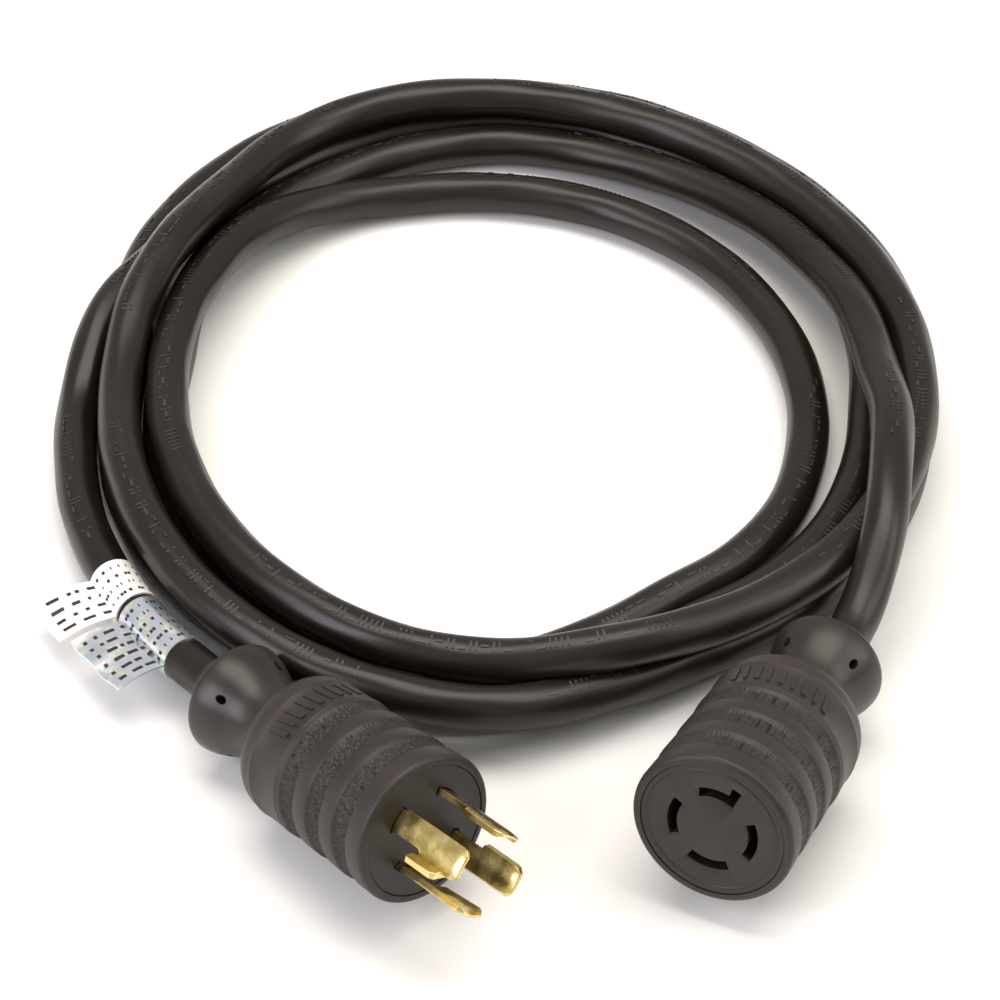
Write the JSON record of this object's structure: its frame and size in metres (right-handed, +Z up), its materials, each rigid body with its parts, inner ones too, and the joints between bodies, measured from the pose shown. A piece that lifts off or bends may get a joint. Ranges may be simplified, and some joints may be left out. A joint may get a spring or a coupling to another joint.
{
  "type": "shore power cord",
  "caption": "Coiled round power cord with a moulded locking plug with curved blades at one end and a matching slotted connector at the other.",
  "frame": {"origin": "bottom centre of the bounding box of the whole cord as it lies coiled on a flat surface", "axes": "+Z up; the plug and the connector lie towards -Y, the connector on the +X side; the coil's far side is towards +Y"},
  "size_m": [0.2218, 0.323, 0.0433],
  "materials": {
    "body_pvc": "matte moulded, faintly pebbled",
    "grip_pvc": "satin moulded",
    "cord_jacket": "satin extruded jacket",
    "insert_plastic": "smooth matte",
    "blade_brass": "stamped, lightly scratched",
    "contact_brass": "stamped",
    "label_paper": "white printed film",
    "label_foil": "silver foil film",
    "insulation_black": "smooth",
    "insulation_red": "smooth",
    "insulation_white": "smooth",
    "insulation_green": "smooth"
  },
  "bodies": {
    "root": {"plug_body": "body_pvc", "plug_cord_grip": "grip_pvc", "plug_blade_carrier": "insert_plastic", "plug_jacket_end": "cord_jacket", "plug_blade_hot_x": "blade_brass", "plug_blade_hot_y": "blade_brass", "plug_blade_neutral": "blade_brass", "plug_blade_ground": "blade_brass", "plug_wire_hot_x": "insulation_black", "plug_wire_hot_y": "insulation_red", "plug_wire_neutral": "insulation_white", "plug_wire_ground": "insulation_green", "connector_body": "body_pvc", "connector_cord_grip": "grip_pvc", "connector_face": "insert_plastic", "connector_contact_housing": "insert_plastic", "connector_jacket_end": "cord_jacket", "connector_contact_hot_x": "contact_brass", "connector_contact_hot_y": "contact_brass", "connector_contact_neutral": "contact_brass", "connector_contact_ground": "contact_brass", "connector_wire_hot_x": "insulation_black", "connector_wire_hot_y": "insulation_red", "connector_wire_neutral": "insulation_white", "connector_wire_ground": "insulation_green", "cord_coil": "cord_jacket", "cord_plug_lead": "cord_jacket", "cord_connector_lead": "cord_jacket", "certification_label": "label_foil", "rating_label": "label_paper"}
  },
  "joints": []
}
